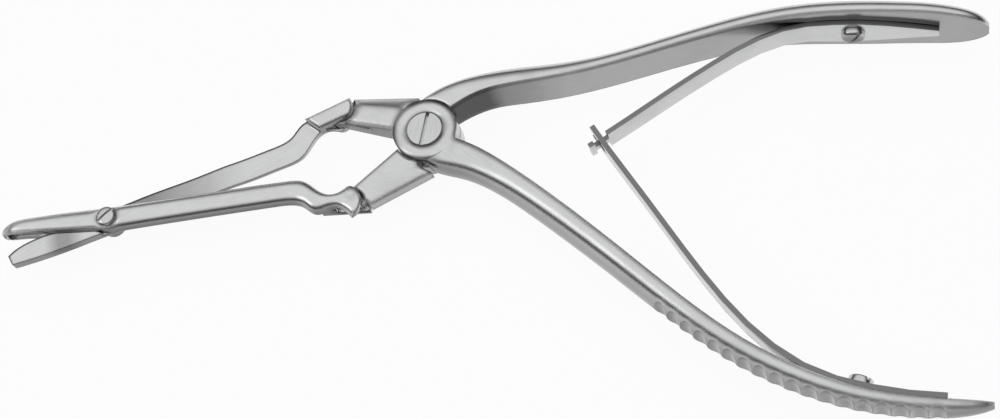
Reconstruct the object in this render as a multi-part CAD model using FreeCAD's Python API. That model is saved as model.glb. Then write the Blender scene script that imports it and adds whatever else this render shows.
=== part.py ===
import FreeCAD, Part
import math
import os

# Nasal septum forceps with a double-action joint. Two levers cross at the main screw, two jaw bars
# cross at the front screw, and two fork pins join the lever arms to the bars. A leaf spring on each
# handle holds the tool open. The tool is drawn open, about the parting plane of its lap joints, with
# +X along the tool to the handles, and is then lifted so that the back of the hub lies at z = 0.

# Sizes of the linkage, in millimetres and degrees
arm_reach = 19.0
link_reach = 50.5
arm_angle = 29.5
jaw_turn = 6.38

# Sizes of the hub and the main screw
hub_radius = 6.3
hub_layer = 3.7
main_head_radius = 3.5
main_head_depth = 1.5
main_shank_radius = 2.1
main_slot_angle = 69.0
main_slot_width = 0.7
main_slot_depth = 0.7

# Clearances
lap_gap = 0.03
pocket_clearance = 0.15
running_clearance = 0.05
open_pivot_clearance = 0.22
leaf_seat_gap = 0.06
leaf_head_gap = 0.06
leaf_hole_clearance = 0.08

# Sizes of the lever arms, along the arm from the main pivot and across it, outer side positive
arm_root = 4.0
arm_inner_root = -1.0
arm_inner_end = -1.6
arm_end_inset = 1.5
arm_outer_root = 7.2
arm_outer_end = 3.8
arm_root_half = 3.1
arm_end_half = 1.9
arm_inner_bevel = 0.5
arm_root_ridge = 3.6
arm_end_ridge = 1.6
arm_edge_half = 1.1
heel_inner = (5.8, 4.3)
heel_outer = (4.5, 7.1)

# Sizes of the fork blocks, their pins and the tongues in them
fork_half_depth = 2.6
fork_slot = 2.0
fork_slot_depth = 3.6
fork_end_radius = 3.4
fork_end_inset = (-1.5, -1.1)
cheek_end_radius = 3.1
cheek_end_inset = (0.0, -1.1)
cheek_bevel = 0.5
tongue_root = 7.0
tongue_thickness = 1.8
tongue_radius = 2.1
pin_radius = 0.9
pin_blind_wall = 0.6

# Sizes of the jaw bars
bar_crown = 2.4
bar_fullness = 0.71
boss_radius = 2.45
boss_clearance = 0.35

# Sizes of the jaws: a channel above and a blade that enters it below
channel_width = 2.3
channel_roof = 2.1
channel_tip = -22.05
blade_thickness = 2.0
blade_root_drop = 0.8
rim_start = -3.5
rim_full = -8.0
rim_trim = 0.2
tooth_start = -15.6
tooth_step = 0.1
tooth_pitch = 0.46
tooth_depth = 0.3
tooth_count = 13

# Sizes of the front screw
front_head_radius = 1.95
front_head_rim = 0.9
front_head_dome = 0.55
front_head_seat = 1.7
front_shank_radius = 1.1
front_slot_width = 0.5
front_slot_depth = 0.55

# Sizes of the handles
handle_side = 0.6
handle_edge_share = 0.7
serration_radius = 1.7
serration_depth = 0.8
serration_pitch = 3.0
serration_count = 18
serration_start = 57.5

# Sizes of the leaf springs, their screws and the hook that joins them
leaf_thickness = 1.0
leaf_screw_x_upper = 83.5
leaf_screw_x_lower = 66.0
leaf_head_radius = 2.2
leaf_head_height = 1.6
leaf_head_round = 0.35
leaf_shank_radius = 1.1
leaf_shank_depth = 1.8
leaf_slot_width = 0.6
leaf_slot_depth = 0.6
hook_slot_width = 1.9
hook_slot_depth = 5.0
hook_tongue_width = 1.4
hook_tongue_length = 3.0
hook_head_width = 3.6
hook_head_length = 1.1

# Handles: x and y of the flat inner face, thickness, width and fullness of the crown at each station
UPPER_HANDLE = [
    (2.5, 1.2, 6.3, 7.4, 0.95),
    (6.0, 2.9, 6.2, 7.4, 0.92),
    (9.5, 4.0, 5.6, 7.9, 0.84),
    (14.0, 4.5, 5.1, 8.4, 0.71),
    (22.0, 3.7, 4.7, 9.3, 0.64),
    (32.0, 2.9, 4.0, 9.3, 0.61),
    (44.0, 3.0, 3.6, 9.2, 0.61),
    (58.0, 3.3, 3.7, 9.7, 0.61),
    (68.0, 2.8, 3.9, 10.7, 0.61),
    (78.0, 0.8, 4.1, 12.4, 0.61),
    (88.0, -2.1, 4.0, 12.9, 0.61),
    (97.0, -5.0, 3.7, 12.0, 0.61),
    (102.9, -7.2, 3.1, 9.6, 0.61),
    (105.7, -8.2, 2.2, 6.2, 0.61),
    (106.9, -8.6, 1.1, 2.9, 0.61),
]
LOWER_HANDLE = [
    (2.4, -1.3, 6.1, 7.4, 0.95),
    (5.2, -3.3, 6.1, 7.5, 0.92),
    (8.5, -5.9, 5.6, 7.9, 0.84),
    (13.5, -11.0, 4.9, 8.4, 0.71),
    (21.4, -20.7, 4.5, 9.2, 0.64),
    (31.2, -33.9, 4.2, 9.5, 0.61),
    (40.9, -47.4, 3.9, 9.4, 0.61),
    (49.8, -58.1, 3.6, 9.2, 0.61),
    (57.9, -65.3, 3.3, 8.8, 0.61),
    (66.2, -70.8, 2.9, 8.1, 0.61),
    (74.2, -74.4, 2.6, 7.5, 0.61),
    (80.6, -76.5, 2.2, 6.6, 0.61),
    (84.8, -77.6, 1.6, 4.8, 0.61),
    (87.4, -78.2, 0.9, 2.4, 0.61),
]

# Jaw bar, jaws closed, from the front pivot: x, lower edge, upper edge and crown at each station
BAR = [
    (0.0, -2.55, 2.55, bar_crown),
    (7.0, -2.55, 2.48, bar_crown),
    (14.0, -2.55, 2.41, bar_crown),
    (21.0, -2.56, 2.34, bar_crown),
    (28.0, -2.6, 2.26, bar_crown),
    (33.0, -2.64, 2.2, bar_crown),
    (36.2, -2.7, 2.12, bar_crown),
    (38.8, -3.1, 2.0, 2.45),
    (41.3, -4.8, 1.1, 2.55),
    (43.8, -5.75, -1.2, fork_half_depth),
    (48.5, -6.3, -1.7, fork_half_depth),
    (54.0, -6.6, -1.9, fork_half_depth),
]
CHANNEL_JAW = [
    (0.0, -2.55, 2.55, bar_crown),
    (-7.0, -2.0, 2.9, 2.25),
    (-13.0, -1.35, 3.1, 2.05),
    (-18.0, -0.8, 3.15, 1.9),
    (-20.8, -0.65, 2.75, 1.65),
    (-22.3, -0.35, 1.95, 1.2),
    (-22.9, 0.2, 1.3, 0.7),
]
CHEEK = [(43.5, -5.1), (56.0, -6.4), (56.0, -2.8), (45.8, -1.85)]
BLADE_TOP = [(-21.7, 0.0), (-19.8, 0.9), (-17.4, 1.45), (-13.9, 1.65), (-5.0, 1.7)]
BLADE_BOTTOM = [(-5.0, -2.5), (-13.0, -2.55), (-21.2, -2.1)]

# Leaf springs: x, y and width of the free length, then x and width where a leaf lies on its handle
UPPER_LEAF_FREE = [(33.9, -10.3, 4.6), (45.4, -5.8, 4.8), (57.6, -1.3, 4.9), (65.5, 0.9, 5.0)]
UPPER_LEAF_SEAT = [(74.0, 5.4), (80.0, 6.2), (83.5, 6.4), (90.0, 4.8), (98.5, 1.8)]
LOWER_LEAF_FREE = [
    (31.5, -8.1, 4.8),
    (33.3, -13.0, 4.8),
    (38.6, -26.5, 4.8),
    (45.8, -44.8, 4.9),
    (51.5, -56.0, 5.0),
]
LOWER_LEAF_SEAT = [(61.0, 5.6), (66.0, 6.4), (72.0, 6.0), (80.0, 5.6)]

ORIGIN = FreeCAD.Vector(0, 0, 0)
ALONG = FreeCAD.Vector(1, 0, 0)
ACROSS = FreeCAD.Vector(0, 1, 0)
UP = FreeCAD.Vector(0, 0, 1)
BEYOND = 200.0


def polar(radius, degrees):
    """Point of the parting plane at a radius and an angle about the Z axis."""
    turn = math.radians(degrees)
    return FreeCAD.Vector(radius * math.cos(turn), radius * math.sin(turn), 0)


link_angle = math.degrees(math.asin(arm_reach * math.sin(math.radians(arm_angle)) / link_reach))
front_pivot = polar(arm_reach, 180.0 - arm_angle) + polar(link_reach, 180.0 + link_angle)
upper_pin = polar(arm_reach, 180.0 - arm_angle)
lower_pin = polar(arm_reach, 180.0 + arm_angle)
closed_pin = polar(link_reach, jaw_turn - link_angle)
closed_arm_angle = math.degrees(math.asin(-closed_pin.y / arm_reach))


# Helpers on shapes


def flipped(shape):
    """Copy turned half a turn about the X axis, so front becomes back and upper becomes lower."""
    copy = shape.copy()
    copy.rotate(ORIGIN, ALONG, 180)
    return copy


def turned(shape, degrees):
    """Copy turned about the Z axis."""
    copy = shape.copy()
    copy.rotate(ORIGIN, UP, degrees)
    return copy


def moved(shape, offset):
    """Copy moved by an offset."""
    copy = shape.copy()
    copy.translate(offset)
    return copy


def disc(radius, low, high, centre=ORIGIN):
    """Cylinder along Z between two heights."""
    return Part.makeCylinder(radius, high - low, FreeCAD.Vector(centre.x, centre.y, low), UP)


def slab(points, low, high):
    """Prism along Z of a closed outline of points."""
    corners = [FreeCAD.Vector(x, y, low) for x, y in points]
    face = Part.Face(Part.makePolygon(corners + corners[:1]))
    return face.extrude(FreeCAD.Vector(0, 0, high - low))


def box(x_range, y_range, z_range):
    """Box over three ranges."""
    corner = FreeCAD.Vector(x_range[0], y_range[0], z_range[0])
    sides = [high - low for low, high in (x_range, y_range, z_range)]
    return Part.makeBox(*sides, corner)


def smooth(points):
    """Smooth curve in the parting plane through points."""
    curve = Part.BSplineCurve()
    curve.interpolate([FreeCAD.Vector(x, y, 0) for x, y in points])
    return curve


def between(rows, x, column):
    """Value of a column of rows at x, in a straight line between the rows on both sides."""
    for first, second in zip(rows, rows[1:]):
        if min(first[0], second[0]) <= x <= max(first[0], second[0]):
            share = (x - first[0]) / (second[0] - first[0])
            return first[column] + share * (second[column] - first[column])
    return rows[-1][column]


def one_solid(shape):
    """The one solid of a finished piece."""
    if len(shape.Solids) != 1:
        raise ValueError("a piece came out as %d solids" % len(shape.Solids))
    return shape.Solids[0]


def rounded(start, corner, end, fullness):
    """Curve from start to end that leaves towards a corner and arrives from it."""
    curve = Part.BezierCurve()
    first = start + (corner - start) * fullness
    last = end + (corner - end) * fullness
    curve.setPoles([start, first, last, end])
    return curve


def crowned_section(foot, outward, across, width, thickness, fullness):
    """Closed outline with a flat foot, low sides, bevelled edges and a crown."""
    half = width / 2
    side = min(handle_side, thickness / 3)
    edge = handle_edge_share * side

    def at(aside, out):
        return foot + across * aside + outward * out

    curves = [
        Part.LineSegment(at(edge - half, 0), at(half - edge, 0)),
        Part.LineSegment(at(half - edge, 0), at(half, edge)),
        Part.LineSegment(at(half, edge), at(half, side)),
        rounded(at(half, side), at(half, thickness), at(0, thickness), fullness),
        rounded(at(0, thickness), at(-half, thickness), at(-half, side), fullness),
        Part.LineSegment(at(-half, side), at(-half, edge)),
        Part.LineSegment(at(-half, edge), at(edge - half, 0)),
    ]
    return Part.Wire([curve.toShape() for curve in curves])


def screw_slot(width, depth, top, degrees):
    """Cutter for the driver slot right across a screw head."""
    return turned(box((-10, 10), (-width / 2, width / 2), (top - depth, top + 5)), degrees)


# Handles


class Handle:
    """Crowned handle, flat on its inner face, drawn through stations along that face."""

    def __init__(self, stations, side):
        self.stations = stations
        self.side = side
        self.line = smooth([station[:2] for station in stations])

    def outward(self, place):
        """Direction out of the crown at a place on the inner line."""
        return UP.cross(self.line.tangent(place)[0]) * self.side

    def place_at(self, x):
        """Place on the inner line that lies at x."""
        low = self.line.FirstParameter
        high = self.line.LastParameter
        for _ in range(40):
            middle = (low + high) / 2
            if self.line.value(middle).x < x:
                low = middle
            else:
                high = middle
        return low

    def above(self, x, height):
        """Point at x that stands off the flat inner face by a height, and the direction off the face."""
        place = self.place_at(x)
        inward = self.outward(place) * -1
        return self.line.value(place) + inward * height, inward

    def solid(self):
        """The handle as a loft through its sections."""
        sections = []
        for x, y, thickness, width, fullness in self.stations:
            foot = FreeCAD.Vector(x, y, 0)
            outward = self.outward(self.line.parameter(foot))
            sections.append(crowned_section(foot, outward, UP, width, thickness, fullness))
        return Part.makeLoft(sections, True, False)

    def serrations(self):
        """Cutters for the round grooves across the crown, evenly spaced along the handle."""
        cutters = []
        for step in range(serration_count):
            place = self.line.parameterAtDistance(serration_start + step * serration_pitch)
            foot = self.line.value(place)
            height = between(self.stations, foot.x, 2) + serration_radius - serration_depth
            cutters.append(disc(serration_radius, -10, 10, foot + self.outward(place) * height))
        return cutters

    def leaf_screw_hole(self, x):
        """Cutter for the blind hole of a leaf screw."""
        start, inward = self.above(x, leaf_thickness)
        return Part.makeCylinder(leaf_shank_radius, leaf_thickness + leaf_shank_depth, start, inward * -1)


upper_handle = Handle(UPPER_HANDLE, 1)
lower_handle = Handle(LOWER_HANDLE, -1)


# Levers


def arm_section(u, inner, outer, depth, ridge):
    """Eight-sided section of a lever arm at the distance u from the main pivot."""
    outline = [
        (inner, arm_inner_bevel - depth),
        (inner, depth - arm_inner_bevel),
        (inner + arm_inner_bevel, depth),
        (outer - ridge, depth),
        (outer, arm_edge_half),
        (outer, -arm_edge_half),
        (outer - ridge, -depth),
        (inner + arm_inner_bevel, -depth),
    ]
    corners = [FreeCAD.Vector(u, v, z) for v, z in outline]
    return Part.makePolygon(corners + corners[:1])


def fork_room(inset, radius, low, high):
    """Room in an arm for the round end of a fork block, from the open tool to the closed one."""
    opened = arm_angle + jaw_turn
    cutters = []
    for toward_jaws in (opened, (opened + closed_arm_angle) / 2, closed_arm_angle):
        offset = polar(inset[0], 180 - toward_jaws) + polar(-inset[1], 90 - toward_jaws)
        cutters.append(disc(radius + pocket_clearance, low, high, ALONG * arm_reach + offset))
    return cutters


def lever_arm():
    """Tapered arm with a heel at its root and a tongue at its end, along +X, outer side on +Y."""
    pin = ALONG * arm_reach
    half = tongue_thickness / 2
    root = arm_section(arm_root, arm_inner_root, arm_outer_root, arm_root_half, arm_root_ridge)
    end = arm_section(arm_reach - arm_end_inset, arm_inner_end, arm_outer_end, arm_end_half, arm_end_ridge)
    body = Part.makeLoft([root, end], True, True)
    heel = [heel_inner, heel_outer, (0, heel_outer[1] + BEYOND), (-BEYOND, heel_inner[1])]
    body = body.cut(slab(heel, -BEYOND, BEYOND))
    body = body.cut(fork_room(fork_end_inset, fork_end_radius, half, BEYOND))
    body = body.cut(fork_room(cheek_end_inset, cheek_end_radius, -BEYOND, -half))
    strip = box((arm_reach - tongue_root, arm_reach), (arm_inner_end, tongue_radius), (-half, half))
    arm = body.fuse([strip, disc(tongue_radius, -half, half, pin)])
    return arm.cut(disc(pin_radius + running_clearance, -BEYOND, BEYOND, pin))


def lever_hub():
    """Front half of the hub with the upper arm."""
    return disc(hub_radius, lap_gap, hub_layer).fuse(turned(flipped(lever_arm()), 180 - arm_angle))


def hub_room():
    """Room for the other lever's half of the hub, and all that stands in front of the flat face."""
    return [
        disc(hub_radius + pocket_clearance, -BEYOND, lap_gap),
        disc(hub_radius + 1.0, hub_layer, BEYOND),
    ]


def front_lever():
    """Front half of the hub, upper arm and serrated lower handle."""
    rooms = hub_room()
    hole = lower_handle.leaf_screw_hole(leaf_screw_x_lower)
    handle = lower_handle.solid().cut(rooms + [hole] + lower_handle.serrations())
    lever = lever_hub().cut(rooms).fuse(handle)
    screw_room = [
        disc(main_head_radius + 2 * running_clearance, hub_layer - main_head_depth, BEYOND),
        disc(main_shank_radius + running_clearance, -BEYOND, BEYOND),
    ]
    return one_solid(lever.cut(screw_room))


def rear_lever():
    """Rear half of the hub, lower arm and smooth upper handle."""
    rooms = [flipped(room) for room in hub_room()]
    hole = upper_handle.leaf_screw_hole(leaf_screw_x_upper)
    handle = upper_handle.solid().cut(rooms + [hole])
    lever = flipped(lever_hub()).cut(rooms).fuse(handle)
    return one_solid(lever.cut(disc(main_shank_radius, -BEYOND, BEYOND)))


# Jaw bars, drawn with the jaws closed and the front pivot at the origin


def oval_section(x, low, high, depth):
    """Closed oval at a station of a bar, full enough to have flat sides."""
    middle = (low + high) / 2
    upper = (FreeCAD.Vector(x, high, 0), FreeCAD.Vector(x, low, 0))
    front = FreeCAD.Vector(x, middle, depth)
    back = FreeCAD.Vector(x, middle, -depth)
    curves = []
    for side, start, end in ((0, back, front), (1, front, back)):
        for first, last in ((start, upper[side]), (upper[side], end)):
            corner = FreeCAD.Vector(x, upper[side].y, (first + last).z)
            curves.append(rounded(first, corner, last, bar_fullness))
    return Part.Wire([curve.toShape() for curve in curves])


def bar_loft(stations):
    """Bar of oval section through its stations, without its back half on the handle side."""
    loft = Part.makeLoft([oval_section(*station) for station in stations], True, False)
    return loft.cut(box((0, BEYOND), (-20, 20), (-20, lap_gap)))


def block_end(inset, radius):
    """All that a fork block may fill: up to a round end, set off from the pin."""
    centre = closed_pin + FreeCAD.Vector(*inset, 0)
    sides = (-BEYOND, BEYOND)
    return box((-BEYOND, centre.x), sides, sides).fuse(disc(radius, *sides, centre))


def fork_cheek():
    """Back cheek of a fork block, with a slanted root, a round end and bevelled edges."""
    cheek = slab(CHEEK, -fork_half_depth, lap_gap)
    cheek = cheek.common(block_end(cheek_end_inset, cheek_end_radius)).removeSplitter()
    edges = [edge for edge in cheek.Edges if edge.BoundBox.ZMax < lap_gap - fork_half_depth]
    return cheek.makeChamfer(cheek_bevel, edges)


def bar_body(stations):
    """Bar with its fork block, in front of the parting plane."""
    half = fork_slot / 2
    slot = box((closed_pin.x - fork_slot_depth, BEYOND), (-BEYOND, BEYOND), (-half, half))
    bar = bar_loft(stations).common(block_end(fork_end_inset, fork_end_radius))
    return bar.fuse(fork_cheek()).cut(slot)


def rim_height(x, share):
    """Height of the channel's rim at x, with a share of the trim that flattens it."""
    return between(CHANNEL_JAW, x, 1) + share * rim_trim


def jaw_rims():
    """Cutter that flattens both rims of the channel jaw and notches them towards the nose."""
    low = -6.0
    outline = [(rim_start, low), (rim_start, rim_height(rim_start, 0))]
    outline += [(x, rim_height(x, 1)) for x in (rim_full, tooth_start)]
    for step in range(tooth_count):
        x = tooth_start - step * tooth_pitch
        outline.append((x, rim_height(x, 1) + tooth_step))
        middle = x - tooth_pitch / 2
        outline.append((middle, rim_height(middle, 1) + tooth_step + tooth_depth))
    outline.append((tooth_start - tooth_count * tooth_pitch, low))
    return slab(outline, -10, 10)


def channel_bar():
    """Bar with the upper jaw: a rounded channel, open below and closed at its nose, with toothed rims."""
    room = boss_radius + boss_clearance
    half = channel_width / 2
    channel = box((channel_tip, 0), (-20, channel_roof), (-half, half)).cut(disc(room, -20, 20))
    bar = bar_body(CHANNEL_JAW[::-1] + BAR[1:])
    return bar.cut([disc(room, -20, lap_gap), channel, jaw_rims()])


def blade_jaw():
    """Lower jaw: a blade with a curved edge and a blunt end, which enters the channel."""
    top = [FreeCAD.Vector(x, y, 0) for x, y in BLADE_TOP]
    bottom = [FreeCAD.Vector(x, y, 0) for x, y in BLADE_BOTTOM]
    root_top = ACROSS * (boss_radius - blade_root_drop)
    root_bottom = ACROSS * -boss_radius
    curves = [
        smooth(BLADE_TOP),
        Part.LineSegment(top[-1], root_top),
        Part.LineSegment(root_top, root_bottom),
        Part.LineSegment(root_bottom, bottom[0]),
        Part.Arc(*bottom),
        Part.LineSegment(bottom[-1], top[0]),
    ]
    face = Part.Face(Part.Wire([curve.toShape() for curve in curves]))
    blade = moved(face.extrude(UP * blade_thickness), UP * (-blade_thickness / 2))
    return blade.cut(disc(boss_radius + 2 * boss_clearance, -lap_gap, BEYOND))


def front_jaw_bar():
    """Bar with the channel jaw above and its fork block below, in its open place."""
    cutters = [
        disc(front_shank_radius + open_pivot_clearance, -BEYOND, BEYOND),
        disc(front_head_radius + open_pivot_clearance, front_head_seat, BEYOND),
        disc(pin_radius, -BEYOND, fork_half_depth - pin_blind_wall, closed_pin),
    ]
    bar = channel_bar().cut(cutters)
    return one_solid(moved(turned(bar, -jaw_turn), front_pivot))


def rear_jaw_bar():
    """Bar with the blade jaw below and its fork block above, in its open place."""
    boss = disc(boss_radius, lap_gap, bar_crown)
    pin = FreeCAD.Vector(closed_pin.x, -closed_pin.y, 0)
    cutters = [
        disc(front_shank_radius, -BEYOND, BEYOND),
        disc(pin_radius, -BEYOND, fork_half_depth - pin_blind_wall, pin),
    ]
    bar = flipped(bar_body(BAR).fuse(boss)).fuse(blade_jaw()).cut(cutters)
    return one_solid(moved(turned(bar, jaw_turn), front_pivot))


# Screws and pins


def main_screw():
    """Flush slotted screw, threaded into the rear half of the hub."""
    seat = hub_layer - main_head_depth + running_clearance
    screw = disc(main_head_radius, seat, hub_layer).fuse(disc(main_shank_radius, -hub_layer, seat))
    return one_solid(screw.cut(screw_slot(main_slot_width, main_slot_depth, hub_layer, main_slot_angle)))


def front_screw():
    """Domed slotted screw through both jaw bars, threaded into the rear bar."""
    seat = front_head_seat + running_clearance
    top = seat + front_head_rim + front_head_dome
    ball = (front_head_radius**2 + front_head_dome**2) / (2 * front_head_dome)
    dome = Part.makeSphere(ball, UP * (top - ball))
    screw = disc(front_head_radius, seat, top).common(dome)
    screw = screw.fuse(disc(front_shank_radius, -bar_crown, seat))
    return one_solid(moved(screw.cut(screw_slot(front_slot_width, front_slot_depth, top, 0)), front_pivot))


def fork_pin(place):
    """Plain pin through a fork block and its tongue, ground flush at the back."""
    return disc(pin_radius, -fork_half_depth, fork_half_depth - pin_blind_wall, place)


def leaf_screw(handle, x, slot_degrees):
    """Slotted screw that clamps a leaf spring to the inner face of a handle."""
    head = disc(leaf_head_radius, 0, leaf_head_height)
    rim = [edge for edge in head.Edges if edge.BoundBox.ZMin > leaf_head_height - 0.01]
    head = head.makeFillet(leaf_head_round, rim)
    under_head = leaf_seat_gap + leaf_thickness + leaf_head_gap
    shank = disc(leaf_shank_radius, -under_head - leaf_shank_depth, 0)
    screw = head.fuse(shank).cut(screw_slot(leaf_slot_width, leaf_slot_depth, leaf_head_height, slot_degrees))
    seat, inward = handle.above(x, under_head)
    screw.Placement = FreeCAD.Placement(seat, FreeCAD.Rotation(UP, inward))
    return one_solid(screw)


# Leaf springs


def leaf(free, handle, seated):
    """Flat spring of even thickness, from its free end to where it lies on its handle."""
    stations = list(free)
    for x, width in seated:
        point, _ = handle.above(x, leaf_seat_gap + leaf_thickness / 2)
        stations.append((point.x, point.y, width))
    line = smooth([station[:2] for station in stations])
    sections = []
    for x, y, width in stations:
        middle = FreeCAD.Vector(x, y, 0)
        face = UP.cross(line.tangent(line.parameter(middle))[0]) * (leaf_thickness / 2)
        rise = UP * (width / 2)
        corners = [middle - face - rise, middle + face - rise, middle + face + rise, middle - face + rise]
        sections.append(Part.makePolygon(corners + corners[:1]))
    return line, Part.makeLoft(sections, True, False)


def along_leaf(line, length_range, width, thickness):
    """Block set along the free end of a leaf, over a range of lengths from that end."""
    start = line.value(line.FirstParameter)
    tangent = line.tangent(line.FirstParameter)[0]
    piece = box(length_range, (-thickness / 2, thickness / 2), (-width / 2, width / 2))
    piece.Placement = FreeCAD.Placement(start, FreeCAD.Rotation(ALONG, tangent))
    return piece


def upper_spring_leaf():
    """Leaf of the upper handle, narrowed at its free end to a tongue with a cross head."""
    line, body = leaf(UPPER_LEAF_FREE, upper_handle, UPPER_LEAF_SEAT)
    tongue = along_leaf(line, (-hook_tongue_length, 0.5), hook_tongue_width, leaf_thickness)
    head_range = (-hook_tongue_length - hook_head_length, -hook_tongue_length)
    head = along_leaf(line, head_range, hook_head_width, leaf_thickness)
    return one_solid(body.fuse([tongue, head]).cut(leaf_hole(upper_handle, leaf_screw_x_upper)))


def lower_spring_leaf():
    """Leaf of the lower handle, slotted at its free end into two prongs that hold the tongue."""
    line, body = leaf(LOWER_LEAF_FREE, lower_handle, LOWER_LEAF_SEAT)
    slot = along_leaf(line, (-1, hook_slot_depth), hook_slot_width, 10)
    return one_solid(body.cut([slot, leaf_hole(lower_handle, leaf_screw_x_lower)]))


def leaf_hole(handle, x):
    """Cutter for the screw hole through a leaf."""
    start, inward = handle.above(x, -leaf_thickness)
    return Part.makeCylinder(leaf_shank_radius + leaf_hole_clearance, 4 * leaf_thickness, start, inward)


# Writing the pieces


pieces = {
    "front_lever": front_lever(),
    "rear_lever": rear_lever(),
    "front_jaw_bar": front_jaw_bar(),
    "rear_jaw_bar": rear_jaw_bar(),
    "main_screw": main_screw(),
    "front_screw": front_screw(),
    "upper_fork_pin": fork_pin(upper_pin),
    "lower_fork_pin": fork_pin(lower_pin),
    "upper_spring_leaf": upper_spring_leaf(),
    "lower_spring_leaf": lower_spring_leaf(),
    "upper_spring_screw": leaf_screw(upper_handle, leaf_screw_x_upper, 40),
    "lower_spring_screw": leaf_screw(lower_handle, leaf_screw_x_lower, 100),
}

os.makedirs("parts", exist_ok=True)
for name, shape in pieces.items():
    moved(shape, UP * hub_layer).exportStep("parts/%s.step" % name)
    print("%-20s volume %9.2f mm3, valid %s" % (name, shape.Volume, shape.isValid()))
print("front pivot", front_pivot, "upper pin", upper_pin, "closing", 2 * arm_angle)
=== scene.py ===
"""Looks of the double-action nasal septum forceps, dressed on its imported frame.

Lengths are written in millimetres about the parting plane of the lap joints, with +X to the handles
and +Z out of the slotted screw heads, and are turned into metres where a mesh is made.
"""

import logging
import math
from dataclasses import dataclass
from enum import Enum
from typing import Any, Callable

import bpy
from mathutils import Matrix, Vector


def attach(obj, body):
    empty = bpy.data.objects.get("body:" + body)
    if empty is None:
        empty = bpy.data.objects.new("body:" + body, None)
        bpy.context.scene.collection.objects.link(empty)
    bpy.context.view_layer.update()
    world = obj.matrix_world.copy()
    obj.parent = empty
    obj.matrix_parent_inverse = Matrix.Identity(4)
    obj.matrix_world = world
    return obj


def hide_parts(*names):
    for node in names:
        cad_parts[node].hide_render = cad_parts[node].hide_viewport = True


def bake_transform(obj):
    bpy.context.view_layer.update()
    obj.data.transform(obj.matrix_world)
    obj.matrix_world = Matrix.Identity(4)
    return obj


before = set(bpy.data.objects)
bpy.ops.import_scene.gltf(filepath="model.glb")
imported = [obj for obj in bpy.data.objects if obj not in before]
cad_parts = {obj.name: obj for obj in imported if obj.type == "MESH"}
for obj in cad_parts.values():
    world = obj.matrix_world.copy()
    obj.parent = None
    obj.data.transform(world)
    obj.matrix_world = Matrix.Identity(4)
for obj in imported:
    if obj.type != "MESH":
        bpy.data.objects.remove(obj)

logging.basicConfig(level=logging.INFO, format="%(message)s")
LOG = logging.getLogger("forceps")

MM = 0.001
PARTING = 3.7
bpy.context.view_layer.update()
UP = Vector((0, 0, 1))


def point(x: float, y: float, z: float = 0.0) -> Vector:
    """Point in metres of a place in millimetres about the parting plane."""
    return Vector((x, y, z + PARTING)) * MM


# Shader expressions


class Tone:
    """One output socket of a node graph, used as a value in an expression."""

    def __init__(self, graph: "Graph", socket: bpy.types.NodeSocket) -> None:
        """Keeps the socket and the graph it belongs to.

        Args:
            graph: Builder of the node graph.
            socket: Output that carries the value.
        """
        self.graph = graph
        self.socket = socket

    def _math(self, operation: str, *values: Any, clamp: bool = False) -> "Tone":
        """Math node for an operation on values."""
        settings = {"operation": operation, "use_clamp": clamp}
        return self.graph.node("ShaderNodeMath", settings, *values)

    def __add__(self, other: Any) -> "Tone":
        """Sum."""
        return self._math("ADD", self, other)

    def __radd__(self, other: Any) -> "Tone":
        """Sum, number first."""
        return self._math("ADD", other, self)

    def __sub__(self, other: Any) -> "Tone":
        """Difference."""
        return self._math("SUBTRACT", self, other)

    def __rsub__(self, other: Any) -> "Tone":
        """Difference, number first."""
        return self._math("SUBTRACT", other, self)

    def __mul__(self, other: Any) -> "Tone":
        """Product."""
        return self._math("MULTIPLY", self, other)

    def __rmul__(self, other: Any) -> "Tone":
        """Product, number first."""
        return self._math("MULTIPLY", other, self)

    def share(self, low: float, high: float) -> "Tone":
        """Share of the way from a low to a high value, kept between 0 and 1.

        Args:
            low: Value that gives 0.
            high: Value that gives 1.

        Returns:
            The share.
        """
        return self._math("MULTIPLY_ADD", self, 1 / (high - low), -low / (high - low), clamp=True)


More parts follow.
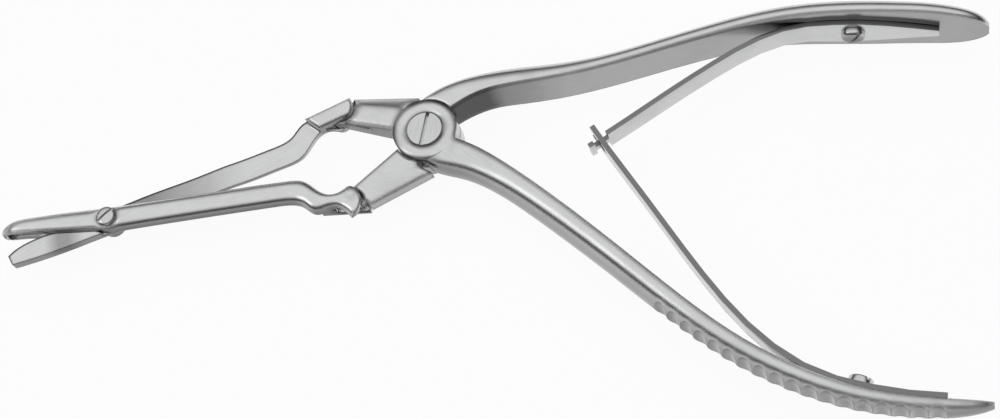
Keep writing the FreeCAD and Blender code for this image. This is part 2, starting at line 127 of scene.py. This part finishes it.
class Graph:
    """Builder of one procedural node graph."""

    def __init__(self, tree: bpy.types.NodeTree) -> None:
        """Starts from an empty graph.

        Args:
            tree: Node tree to fill.
        """
        self.nodes = tree.nodes
        self.links = tree.links
        self.nodes.clear()

    def node(
        self, kind: str, settings: dict[str, Any], *values: Any, out: Any = 0, **named: Any
    ) -> Tone:
        """Adds a node.

        Args:
            kind: Type of the node.
            settings: Properties of the node, set first.
            values: Values or links of its first inputs.
            out: Output that is returned, by index or name.
            named: Values or links of inputs by name, with _ for a space.

        Returns:
            The chosen output, or the node's first input for an output node.
        """
        node = self.nodes.new(kind)
        for key, value in settings.items():
            setattr(node, key, value)
        pairs = list(zip(node.inputs, values))
        pairs += [(node.inputs[key.replace("_", " ")], value) for key, value in named.items()]
        for socket, value in pairs:
            if isinstance(value, Tone):
                self.links.new(value.socket, socket)
            elif value is not None:
                socket.default_value = value
        return Tone(self, node.outputs[out] if node.outputs else node.inputs[0])

    def mix(self, share: Any, first: Any, second: Any) -> Tone:
        """Mixes two colours.

        Args:
            share: Share of the second colour.
            first: First colour.
            second: Second colour.

        Returns:
            The mixed colour.
        """
        skipped = (None,) * 5
        settings = {"data_type": "RGBA", "clamp_factor": True}
        return self.node("ShaderNodeMix", settings, share, *skipped, first, second, out=2)

    def noise(self, place: Tone, scale: float, detail: float = 3.0) -> Tone:
        """Noise from 0 to 1.

        Args:
            place: Coordinates in millimetres.
            scale: Cells per millimetre.
            detail: Octaves of finer noise.

        Returns:
            The noise.
        """
        return self.node("ShaderNodeTexNoise", {}, Vector=place, Scale=scale, Detail=detail)

    def stretched(self, place: Tone, turn: float, stretch: float) -> Tone:
        """Coordinates turned about Z and squeezed along the turned X axis.

        Args:
            place: Coordinates in millimetres.
            turn: Direction of the marks in degrees.
            stretch: How many times longer a mark is than it is wide.

        Returns:
            The new coordinates.
        """
        angle = math.radians(-turn)
        turned = self.node("ShaderNodeVectorRotate", {}, Vector=place, Axis=tuple(UP), Angle=angle)
        squeeze = (1 / stretch, 1.0, 1.0)
        return self.node("ShaderNodeVectorMath", {"operation": "MULTIPLY"}, turned, squeeze)

    def parts(self, vector: Tone) -> tuple[Tone, Tone, Tone]:
        """Splits a vector.

        Args:
            vector: Vector to split.

        Returns:
            Its X, Y and Z.
        """
        first = self.node("ShaderNodeSeparateXYZ", {}, vector)
        outputs = first.socket.node.outputs
        return first, Tone(self, outputs[1]), Tone(self, outputs[2])


def new_material(name: str) -> tuple[bpy.types.Material, Graph]:
    """Makes an empty material.

    Args:
        name: Name of the material.

    Returns:
        The material and the builder of its graph.
    """
    material = bpy.data.materials.new(name)
    material.use_nodes = True
    return material, Graph(material.node_tree)


# Finishes


def grey(level: float) -> tuple[float, float, float, float]:
    """Faintly cool grey of stainless steel."""
    return (level, level * 1.004, level * 1.01, 1.0)


@dataclass(frozen=True)
class Steel:
    """Stainless steel finish with fine polishing marks, faint clouds, softened edges and painted
    shade on faces that look one way.

    Args:
        name: Name of the material.
        turn: Direction of the polishing marks in degrees.
        edge: Radius of the softened edges in millimetres, or 0 where edges are modelled.
        painted_shade_share: Share of painted shade, standing for dark reflections, on faces that look
            along painted_shade_way.
        light: Grey of the clean steel.
        dark: Grey of the steel in its marks and smudges.
        roughness: Mean roughness.
        stretch: Length of a mark over its width.
        depth: Strength of the marks in the normal.
        painted_shade_way: Direction that the faces with the most painted shade look in.
        painted_shade_grey: Grey of the painted shade on a face that looks wholly along
            painted_shade_way.
    """

    name: str
    turn: float
    edge: float
    painted_shade_share: float
    light: float = 0.63
    dark: float = 0.5
    roughness: float = 0.2
    stretch: float = 24.0
    depth: float = 0.08
    painted_shade_way: tuple[float, float, float] = (-0.3, -0.8, -0.5)
    painted_shade_grey: float = 0.06

    def shadow(self, graph: Graph, place: Tone) -> Any:
        """Share of a dark reflection painted on the steel, none on plain steel.

        Args:
            graph: Builder of the material.
            place: Coordinates in millimetres.

        Returns:
            The share.
        """
        return 0.0

    def painted_shade(self, graph: Graph) -> Tone:
        """Share of painted shade, standing for dark reflections, which grows as a face turns along
        painted_shade_way.

        Args:
            graph: Builder of the material.

        Returns:
            The share.
        """
        facing = graph.node("ShaderNodeTexCoord", {}, out="Normal")
        product = {"operation": "DOT_PRODUCT"}
        turned = graph.node("ShaderNodeVectorMath", product, facing, self.painted_shade_way, out="Value")
        return turned.share(0.05, 0.85) * self.painted_shade_share

    def normal(self, graph: Graph, marks: Tone) -> Tone:
        """Normal with polishing marks on softened edges.

        Args:
            graph: Builder of the material.
            marks: Height of the polishing marks.

        Returns:
            The normal.
        """
        soft = None
        if self.edge:
            radius = self.edge * MM
            soft = graph.node("ShaderNodeBevel", {"samples": 8}, Radius=radius, out="Normal")
        relief = {"Strength": self.depth, "Distance": 0.01 * MM}
        return graph.node("ShaderNodeBump", {}, Height=marks, Normal=soft, **relief)

    def material(self) -> bpy.types.Material:
        """Builds the material.

        Returns:
            The material.
        """
        material, graph = new_material(self.name)
        metres = graph.node("ShaderNodeTexCoord", {}, out="Object")
        place = graph.node("ShaderNodeVectorMath", {"operation": "SCALE"}, metres, Scale=1 / MM)
        lines = graph.stretched(place, self.turn, self.stretch)
        marks = graph.noise(lines, 4.0, 3.0)
        fine = graph.noise(place, 11.0, 2.0)
        smudges = graph.noise(place, 0.16, 4.0).share(0.45, 0.72)
        clouds = graph.noise(place, 0.06, 2.0)
        worn = smudges * 0.3 + marks.share(0.35, 0.75) * 0.3 + fine.share(0.4, 0.8) * 0.12
        colour = graph.mix(worn, grey(self.light), grey(self.dark))
        # Painted shade: faces that look one way are mixed towards a dark grey, standing for dark
        # reflections.
        colour = graph.mix(self.painted_shade(graph), colour, grey(self.painted_shade_grey))
        # Painted dark reflection: near-black grey wherever shadow() gives a share.
        colour = graph.mix(self.shadow(graph, place), colour, grey(0.045))
        rough = self.roughness + (marks - 0.5) * 0.05 + smudges * 0.04 + (clouds - 0.5) * 0.06
        surface = graph.node(
            "ShaderNodeBsdfPrincipled",
            {},
            Base_Color=colour,
            Metallic=1.0,
            Roughness=rough,
            Normal=self.normal(graph, marks),
        )
        graph.node("ShaderNodeOutputMaterial", {}, surface)
        return material


@dataclass(frozen=True)
class HandleRootSteel(Steel):
    """Steel of the upper handle's lever, with a painted dark reflection on its inner face beside the
    hub.

    Args:
        shadow_end: Distance from the hub, in millimetres, at which the reflection has ended.
        shadow_step: Distance from the hub at which it turns from dark to half dark.
    """

    shadow_end: float = 27.0
    shadow_step: float = 13.0

    def shadow(self, graph: Graph, place: Tone) -> Any:
        """Share of the painted dark reflection, on faces that look down, close to the hub.

        Args:
            graph: Builder of the material.
            place: Coordinates in millimetres.

        Returns:
            The share.
        """
        # Painted dark reflection: down-facing faces of the handle near the hub, dark in a step, then
        # fading.
        along, across, _ = graph.parts(place)
        facing = graph.parts(graph.node("ShaderNodeTexCoord", {}, out="Normal"))[1]
        waver = (graph.noise(place, 0.35, 2.0) - 0.5) * 3.0
        step = (along + waver * 0.3 - across).share(self.shadow_step - 1.5, self.shadow_step - 4.5)
        fade = (along + waver - across * 0.6).share(self.shadow_end, self.shadow_step)
        handle = along.share(3.0, 5.0) * across.share(1.2, 2.2)
        return facing.share(-0.45, -0.75) * handle * (step * 0.42 + fade * 0.5)


@dataclass(frozen=True)
class RearBarSteel(Steel):
    """Steel of the rear jaw bar, with painted dark reflections beside the crossing and on the blade.
    """

    def shadow(self, graph: Graph, place: Tone) -> Any:
        """Share of the painted dark reflections along the bar.

        Args:
            graph: Builder of the material.
            place: Coordinates in millimetres.

        Returns:
            The share.
        """
        along = graph.parts(place)[0]
        # Painted dark reflections: a band beside the crossing with the front bar and one on the
        # blade.
        crossing = along.share(-37.0, -58.0) * along.share(-69.0, -64.0)
        blade = along.share(-71.5, -75.0) * along.share(-80.0, -77.0)
        return crossing * 0.6 + blade * 0.5


class Finish(Enum):
    """Finishes of the forceps."""

    FRONT_LEVER = Steel(
        "front_lever_steel", turn=-52.0, edge=2.6, painted_shade_share=0.75, roughness=0.22, depth=0.06
    )
    REAR_LEVER = HandleRootSteel("rear_lever_steel", turn=-4.0, edge=1.6, painted_shade_share=0.45)
    FRONT_BAR = Steel(
        "front_bar_steel", turn=6.0, edge=1.8, painted_shade_share=0.95, light=0.64, dark=0.52, roughness=0.17
    )
    REAR_BAR = RearBarSteel(
        "rear_bar_steel", turn=20.0, edge=1.0, painted_shade_share=0.75, light=0.64, dark=0.52, roughness=0.17
    )
    LEAF = Steel(
        "leaf_steel",
        turn=-60.0,
        edge=0.0,
        painted_shade_share=0.75,
        light=0.6,
        dark=0.48,
        roughness=0.22,
        stretch=20.0,
        depth=0.04,
        painted_shade_way=(0.0, 0.0, 1.0),
    )
    SCREW = Steel(
        "screw_steel", turn=69.0, edge=0.0, painted_shade_share=0.7, light=0.6, dark=0.44, stretch=12.0, depth=0.18
    )


class Bench:
    """Finishes made once each, and the dressing of pieces with them."""

    def __init__(self) -> None:
        """Makes every finish."""
        self.made = {finish: finish.value.material() for finish in Finish}

    def dress(self, piece: bpy.types.Object, finish: Finish) -> None:
        """Gives a piece its finish.

        Args:
            piece: Object to dress.
            finish: Finish to give it.
        """
        piece.data.materials.clear()
        piece.data.materials.append(self.made[finish])
        LOG.info("dressed %s in %s", piece.name, finish.value.name)


# Modelling helpers


def pick_faces(piece: bpy.types.Object, wanted: Callable[[Vector, Vector], bool]) -> None:
    """Selects the faces of a piece whose centre and normal are wanted, and enters edit mode.

    Args:
        piece: Object whose faces are picked.
        wanted: Test of a face's centre in world space and its normal.
    """
    if bpy.context.object.mode == "EDIT":
        bpy.ops.object.mode_set(mode="OBJECT")
    for group in (piece.data.vertices, piece.data.edges, piece.data.polygons):
        group.foreach_set("select", [False] * len(group))
    for face in piece.data.polygons:
        face.select = wanted(piece.matrix_world @ face.center, face.normal)
    bpy.ops.object.mode_set(mode="EDIT")
    bpy.ops.mesh.select_mode(type="FACE")


def seat_in_mesh(piece: bpy.types.Object) -> None:
    """Leaves a piece in object mode with its place in its mesh and its object at the origin.

    Args:
        piece: Active object.
    """
    if bpy.context.object.mode == "EDIT":
        bpy.ops.object.mode_set(mode="OBJECT")
    bpy.ops.object.transform_apply(location=True, rotation=True, scale=True)
    piece.select_set(False)


def apply_modifier(piece: bpy.types.Object, kind: str, **settings: Any) -> None:
    """Adds one modifier to the active piece and applies it.

    Args:
        piece: Object that gets the modifier.
        kind: Type of the modifier.
        settings: Properties of the modifier.
    """
    modifier = piece.modifiers.new(kind.lower(), kind)
    for key, value in settings.items():
        setattr(modifier, key, value)
    bpy.ops.object.modifier_apply(modifier=modifier.name)


# Leaf springs


@dataclass
class SpringLeaf:
    """Leaf spring bent up along its line, which crosses the joint of the two handles.

    Args:
        name: Name of the piece, and of the node that it stands for.
        rows: x, y and width of the leaf from its free end to its seat.
        thickness: Thickness of the leaf.
        edge: Width of the softened edges, as far as the shortest side of the mesh allows.
        hook: x and y of the place where the two leaves hook into each other; not used.
        swing: Direction, from the upper lever to the lower one, in which the bending runs; not used.
        swing_reach: Distance from the hook at which a point follows one lever alone; not used.
    """

    name: str
    rows: list[tuple[float, float, float]]
    thickness: float = 1.0
    edge: float = 0.24
    hook: tuple[float, float] = (32.3, -10.2)
    swing: tuple[float, float] = (-0.375, -0.927)
    swing_reach: float = 27.0

    def heading(self, index: int) -> float:
        """Direction of the leaf at a row.

        Args:
            index: Number of the row, from the free end.

        Returns:
            The direction in radians.
        """
        before = self.rows[max(index - 1, 0)]
        after = self.rows[min(index + 1, len(self.rows) - 1)]
        return math.atan2(after[1] - before[1], after[0] - before[0])

    def strip(self) -> bpy.types.Object:
        """Bends up the strip: a block at the free end, extruded from row to row.

        Returns:
            The strip, in edit mode.
        """
        x, y, width = self.rows[0]
        bpy.ops.mesh.primitive_cube_add(size=MM, location=(0, 0, 0))
        piece = bpy.context.object
        piece.name = self.name + "_bent"
        angle = self.heading(0)
        piece.matrix_world = (
            Matrix.Translation(point(x, y))
            @ Matrix.Rotation(angle, 4, "Z")
            @ Matrix.Diagonal((0.02, self.thickness, width, 1.0))
        )
        bpy.ops.object.transform_apply(location=True, rotation=True, scale=True)
        ahead = Vector((math.cos(angle), math.sin(angle), 0))
        pick_faces(piece, lambda centre, normal: normal.dot(ahead) > 0.9)
        for index in range(1, len(self.rows)):
            previous, row = self.rows[index - 1], self.rows[index]
            step = Vector((row[0] - previous[0], row[1] - previous[1], 0)) * MM
            bpy.ops.mesh.extrude_region_move(TRANSFORM_OT_translate={"value": step})
            turn = self.heading(index) - angle
            angle += turn
            here = point(row[0], row[1])
            bpy.ops.transform.rotate(value=-turn, orient_axis="Z", center_override=here)
            bpy.ops.transform.resize(value=(1, 1, row[2] / previous[2]), center_override=here)
        return piece

    def free_end(self, piece: bpy.types.Object) -> None:
        """Shapes the free end, which stays square on a plain leaf.

        Args:
            piece: The strip.
        """

    def build(self) -> bpy.types.Object:
        """Builds the leaf with its free end and softened edges.

        Returns:
            The finished piece, at the origin.
        """
        bpy.ops.object.select_all(action="DESELECT")
        piece = self.strip()
        self.free_end(piece)
        seat_in_mesh(piece)
        piece.select_set(True)
        corners = {"limit_method": "ANGLE", "angle_limit": 1.0}
        apply_modifier(piece, "BEVEL", width=self.edge * MM, segments=3, **corners)
        bpy.ops.object.shade_smooth_by_angle(angle=math.radians(40))
        piece.select_set(False)
        return piece

    def place(self, bench: Bench) -> None:
        """Builds and dresses the leaf and hides the node that it stands for.

        Args:
            bench: Bench with the finishes.
        """
        piece = self.build()
        bench.dress(piece, Finish.LEAF)
        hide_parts(self.name)
        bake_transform(piece)
        LOG.info("leaf %s bends between the levers", self.name)


@dataclass
class TongueLeaf(SpringLeaf):
    """Leaf of the upper handle, narrowed at its free end to a tongue with a cross head.

    Args:
        tongue_width: Width of the tongue.
        tongue_length: Length of the tongue.
        head_width: Width of the cross head.
        head_length: Length of the cross head.
    """

    tongue_width: float = 1.4
    tongue_length: float = 3.0
    head_width: float = 3.6
    head_length: float = 1.1

    def free_end(self, piece: bpy.types.Object) -> None:
        """Draws out the tongue and its cross head from the end face.

        Args:
            piece: The strip.
        """
        angle = self.heading(0)
        back = Vector((-math.cos(angle), -math.sin(angle), 0))
        end = point(*self.rows[0][:2])
        near = 0.2 * MM
        pick_faces(
            piece, lambda centre, normal: normal.dot(back) > 0.9 and (centre - end).length < near
        )
        width = self.rows[0][2]
        reach = 0.0
        steps = (
            (0.0, self.tongue_width),
            (self.tongue_length, self.tongue_width),
            (0.0, self.head_width),
            (self.head_length, self.head_width),
        )
        for length, new_width in steps:
            bpy.ops.mesh.extrude_region_move(TRANSFORM_OT_translate={"value": back * length * MM})
            reach += length
            if new_width != width:
                share = (1, 1, new_width / width)
                bpy.ops.transform.resize(value=share, center_override=end + back * reach * MM)
                width = new_width


@dataclass
class ProngedLeaf(SpringLeaf):
    """Leaf of the lower handle, slotted at its free end into two prongs.

    Args:
        slot_width: Width of the slot.
        slot_depth: Depth of the slot.
    """

    slot_width: float = 1.9
    slot_depth: float = 5.0

    def free_end(self, piece: bpy.types.Object) -> None:
        """Saws the slot between the prongs with a block.

        Args:
            piece: The strip.
        """
        bpy.ops.object.mode_set(mode="OBJECT")
        angle = self.heading(0)
        ahead = Vector((math.cos(angle), math.sin(angle), 0))
        bpy.ops.mesh.primitive_cube_add(size=MM, location=(0, 0, 0))
        saw = bpy.context.object
        saw.matrix_world = (
            Matrix.Translation(point(*self.rows[0][:2]) + ahead * (self.slot_depth / 2 - 1) * MM)
            @ Matrix.Rotation(angle, 4, "Z")
            @ Matrix.Diagonal((self.slot_depth + 2, 4 * self.thickness, self.slot_width, 1.0))
        )
        cut_with(piece, saw)


def cut_with(piece: bpy.types.Object, cutter: bpy.types.Object) -> None:
    """Cuts one object out of another and deletes the cutter.

    Args:
        piece: Object that is cut; it is left active.
        cutter: Object that cuts.
    """
    bpy.ops.object.select_all(action="DESELECT")
    bpy.context.view_layer.objects.active = piece
    piece.select_set(True)
    apply_modifier(piece, "BOOLEAN", operation="DIFFERENCE", solver="EXACT", object=cutter)
    bpy.data.objects.remove(cutter)


# Screws


@dataclass
class SlottedScrew:
    """Slotted screw head, turned from a disc and sawn across.

    Args:
        name: Name of the piece, and of the node that it stands for.
        body: Body that the screw rides on.
        seat: Place of the underside of the head.
        axis: Direction out of the head.
        profile: Radius and height of each turned step, from the seat to the crown.
        slot: Width and depth of the slot.
        slot_angle: Direction of the slot about the axis, in degrees.
        shank: Radius and length of the shank below the seat.
        sides: Number of sides of the disc.
        edge: Width of the softened edges.
    """

    name: str
    body: str
    seat: tuple[float, float, float]
    axis: tuple[float, float, float]
    profile: list[tuple[float, float]]
    slot: tuple[float, float]
    slot_angle: float
    shank: tuple[float, float]
    sides: int = 96
    edge: float = 0.06

    def turned(self) -> bpy.types.Object:
        """Turns the screw: a disc at the shank's foot, extruded and resized step by step.

        Returns:
            The turned screw with its seat at the origin, in object mode.
        """
        radius, length = self.shank
        foot = (0, 0, -length * MM)
        bpy.ops.mesh.primitive_circle_add(
            vertices=self.sides, radius=radius * MM, fill_type="NGON", location=foot
        )
        piece = bpy.context.object
        piece.name = self.name + "_turned"
        bpy.ops.object.transform_apply(location=True)
        bpy.ops.object.mode_set(mode="EDIT")
        bpy.ops.mesh.select_all(action="SELECT")
        height = -length
        for new_radius, new_height in [(radius, 0.0), *self.profile]:
            rise = Vector((0, 0, (new_height - height) * MM))
            bpy.ops.mesh.extrude_region_move(TRANSFORM_OT_translate={"value": rise})
            share = new_radius / radius
            centre = (0, 0, new_height * MM)
            bpy.ops.transform.resize(value=(share, share, 1), center_override=centre)
            radius, height = new_radius, new_height
        bpy.ops.mesh.select_all(action="SELECT")
        bpy.ops.mesh.normals_make_consistent(inside=False)
        bpy.ops.object.mode_set(mode="OBJECT")
        return piece

    def build(self) -> bpy.types.Object:
        """Builds the screw, saws its slot, softens its edges and stands it in its place.

        Returns:
            The finished piece, at the origin.
        """
        bpy.ops.object.select_all(action="DESELECT")
        piece = self.turned()
        width, depth = self.slot
        top = self.profile[-1][1]
        bpy.ops.mesh.primitive_cube_add(size=MM, location=(0, 0, 0))
        saw = bpy.context.object
        length, height = 20.0, 4.0
        middle = Vector((0, 0, (top - depth + height / 2) * MM))
        blade = Matrix.Diagonal((length, width, height, 1.0))
        saw.matrix_world = Matrix.Translation(middle) @ blade
        cut_with(piece, saw)
        corners = {"limit_method": "ANGLE", "angle_limit": 0.7}
        apply_modifier(piece, "BEVEL", width=self.edge * MM, segments=2, **corners)
        bpy.ops.object.shade_smooth_by_angle(angle=math.radians(35))
        axis = Vector(self.axis).normalized()
        stand = UP.rotation_difference(axis).to_matrix().to_4x4()
        spin = Matrix.Rotation(math.radians(self.slot_angle), 4, "Z")
        piece.matrix_world = Matrix.Translation(point(*self.seat)) @ stand @ spin
        seat_in_mesh(piece)
        return piece

    def place(self, bench: Bench) -> None:
        """Builds and dresses the screw and sets it on its body.

        Args:
            bench: Bench with the finishes.
        """
        piece = self.build()
        bench.dress(piece, Finish.SCREW)
        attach(piece, self.body)
        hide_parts(self.name)
        LOG.info("screw %s stands on %s", self.name, self.body)


# The forceps


class Forceps:
    """The dressed forceps: levers and jaw bars from the frame, new leaf springs and screws."""

    def __init__(self, bench: Bench) -> None:
        """Keeps the bench with the finishes.

        Args:
            bench: Bench with the finishes.
        """
        self.bench = bench

    def levers_and_bars(self) -> None:
        """Dresses the pieces that come from the frame."""
        finishes = {
            "front_lever": Finish.FRONT_LEVER,
            "rear_lever": Finish.REAR_LEVER,
            "front_jaw_bar": Finish.FRONT_BAR,
            "rear_jaw_bar": Finish.REAR_BAR,
            "upper_spring_leaf": Finish.LEAF,
            "lower_spring_leaf": Finish.LEAF,
        }
        for name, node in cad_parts.items():
            self.bench.dress(node, finishes.get(name, Finish.SCREW))

    def leaf_springs(self) -> None:
        """Makes the two leaf springs."""
        upper = [
            (33.9, -10.3, 4.6),
            (38.4, -8.58, 4.68),
            (42.88, -6.8, 4.76),
            (47.37, -5.03, 4.82),
            (51.88, -3.32, 4.85),
            (56.42, -1.7, 4.89),
            (61.0, -0.21, 4.94),
            (65.68, 0.93, 5.01),
            (70.47, 1.43, 5.23),
            (75.26, 0.97, 5.57),
            (79.91, -0.3, 6.19),
            (84.54, -1.63, 6.14),
            (89.16, -3.03, 5.01),
            (93.74, -4.51, 3.48),
            (98.31, -6.07, 1.87),
        ]
        lower = [
            (31.5, -8.1, 4.8),
            (33.67, -13.98, 4.8),
            (35.96, -19.81, 4.8),
            (38.26, -25.64, 4.8),
            (40.51, -31.49, 4.83),
            (42.76, -37.34, 4.86),
            (45.1, -43.15, 4.89),
            (47.64, -48.87, 4.93),
            (50.55, -54.42, 4.98),
            (53.99, -59.65, 5.16),
            (58.11, -64.37, 5.42),
            (63.0, -68.28, 5.92),
            (68.46, -71.33, 6.24),
            (74.21, -73.81, 5.89),
            (80.16, -75.79, 5.6),
        ]
        TongueLeaf("upper_spring_leaf", upper).place(self.bench)
        ProngedLeaf("lower_spring_leaf", lower).place(self.bench)

    def screws(self) -> None:
        """Makes the slotted screws."""
        flush = [(3.5, 0.0), (3.5, 1.36), (3.4, 1.45), (3.2, 1.45)]
        flat = [(2.1, 0.0), (2.2, 0.1), (2.2, 1.25), (2.12, 1.45), (1.95, 1.57), (1.7, 1.6)]
        raised = [(2.1, 0.0), (2.2, 0.1), (2.2, 0.75), (2.08, 1.05)]
        raised += [(1.75, 1.32), (1.2, 1.52), (0.5, 1.6)]
        dome = [(1.85, 0.0), (1.95, 0.1), (1.95, 0.95), (1.8, 1.13)]
        dome += [(1.5, 1.26), (1.0, 1.38), (0.4, 1.44)]
        screws = [
            SlottedScrew(
                name="main_screw",
                body="rear_lever",
                seat=(0, 0, 2.25),
                axis=(0, 0, 1),
                profile=flush,
                slot=(0.7, 0.7),
                slot_angle=69.0,
                shank=(2.1, 5.9),
            ),
            SlottedScrew(
                name="front_screw",
                body="rear_bar",
                seat=(-66.1625, 0, 1.75),
                axis=(0, 0, 1),
                profile=dome,
                slot=(0.5, 0.55),
                slot_angle=32.0,
                shank=(1.1, 4.1),
            ),
            SlottedScrew(
                name="upper_spring_screw",
                body="rear_lever",
                seat=(83.182, -1.816, 0),
                axis=(-0.2835, -0.959, 0),
                profile=raised,
                slot=(0.6, 0.6),
                slot_angle=40.0,
                shank=(1.1, 2.9),
            ),
            SlottedScrew(
                name="lower_spring_screw",
                body="front_lever",
                seat=(66.541, -69.71, 0),
                axis=(0.4828, 0.8757, 0),
                profile=flat,
                slot=(0.6, 0.6),
                slot_angle=100.0,
                shank=(1.1, 2.9),
            ),
        ]
        for screw in screws:
            screw.place(self.bench)

    def build(self) -> None:
        """Builds and dresses the whole tool."""
        self.levers_and_bars()
        self.leaf_springs()
        self.screws()


# Stage


@dataclass
class Studio:
    """Floor, lamps, surround and camera.

    Args:
        floor_drop: Height of the floor in millimetres.
        floor_glow: Share of the floor's white that doesn't depend on the lamps.
        focal: Distance from the eye to the picture, in picture widths.
        reach: Distance from the camera to what it faces, in millimetres.
        aim: x and y of what the camera faces.
        turns: Turn of the camera to the right, its tilt and its roll, in degrees.
    """

    floor_drop: float = -6.6
    floor_glow: float = 0.94
    focal: float = 1.802
    reach: float = 340.0
    aim: tuple[float, float] = (10.97, -19.20)
    turns: tuple[float, float, float] = (7.0, 27.0, -10.92)

    def floor(self) -> None:
        """Makes the pale floor."""
        bpy.ops.object.select_all(action="DESELECT")
        bpy.ops.mesh.primitive_plane_add(size=6.0, location=point(0, 0, self.floor_drop))
        floor = bpy.context.object
        floor.name = "floor"
        material, graph = new_material("floor_white")
        camera = graph.node("ShaderNodeLightPath", {}, out="Is Camera Ray")
        glossy = graph.node("ShaderNodeLightPath", {}, out="Is Glossy Ray")
        through = graph.node("ShaderNodeLightPath", {}, out="Is Transmission Ray")
        seen = camera + glossy + through
        paper = graph.node("ShaderNodeBsdfDiffuse", {}, (0.9, 0.9, 0.9, 1.0))
        glow = graph.node("ShaderNodeEmission", {}, (1.0, 1.0, 1.0, 1.0), Strength=1.0)
        surface = graph.node("ShaderNodeMixShader", {}, seen * self.floor_glow, paper, glow)
        graph.node("ShaderNodeOutputMaterial", {}, surface)
        floor.data.materials.append(material)

    def lamp(self, name: str, place: Vector, size: tuple[float, float], watts: float) -> None:
        """Adds one soft box that faces the tool.

        Args:
            name: Name of the lamp.
            place: Where it stands, in metres.
            size: Its width and height in metres.
            watts: Its power.
        """
        data = bpy.data.lights.new(name, "AREA")
        data.shape = "RECTANGLE"
        data.size, data.size_y = size
        data.energy = watts
        lamp = bpy.data.objects.new(name, data)
        bpy.context.collection.objects.link(lamp)
        lamp.location = place
        lamp.rotation_mode = "QUATERNION"
        lamp.rotation_quaternion = (point(0, -20) - place).to_track_quat("-Z", "Y")

    def surround(self) -> None:
        """Sets a bright sky over a dim horizon, white where the camera sees it."""
        world = bpy.data.worlds.new("surround")
        bpy.context.scene.world = world
        world.use_nodes = True
        graph = Graph(world.node_tree)
        side, depth, height = graph.parts(graph.node("ShaderNodeTexCoord", {}, out="Generated"))
        sky = (height + depth * 0.12 - side * 0.1).share(0.2, 0.76)
        level = 0.04 + sky * sky * 0.96
        camera = graph.node("ShaderNodeLightPath", {}, out="Is Camera Ray")
        strength = level * (1 - camera) + camera
        glow = graph.node("ShaderNodeBackground", {}, (1.0, 1.0, 1.0, 1.0), Strength=strength)
        graph.node("ShaderNodeOutputWorld", {}, glow)

    def camera(self) -> None:
        """Sets the camera at the photograph's angle."""
        across, tilt, roll = (math.radians(angle) for angle in self.turns)
        back = Vector((math.tan(across), -math.sin(tilt), math.cos(tilt))) * math.cos(across)
        right = Vector((0, 1, 0)).cross(back).normalized()
        up = back.cross(right)
        turned_right = right * math.cos(roll) + up * math.sin(roll)
        turned_up = up * math.cos(roll) - right * math.sin(roll)
        data = bpy.data.cameras.new("camera")
        data.lens = 36 * self.focal
        data.sensor_width = 36
        data.clip_start = 0.01
        camera = bpy.data.objects.new("camera", data)
        bpy.context.collection.objects.link(camera)
        turn = Matrix((turned_right, turned_up, back)).transposed().to_4x4()
        eye = point(*self.aim) + back * self.reach * MM
        camera.matrix_world = Matrix.Translation(eye) @ turn
        bpy.context.scene.camera = camera

    def build(self) -> None:
        """Builds the whole stage."""
        bpy.context.scene.view_settings.view_transform = "Standard"
        self.floor()
        self.surround()
        self.lamp("key", Vector((-0.62, -0.05, 0.47)), (0.35, 0.25), 0.3)
        self.camera()
        LOG.info("stage is set")


def main() -> None:
    """Builds the scene."""
    Studio().build()
    Forceps(Bench()).build()


if __name__ == "__main__":
    main()
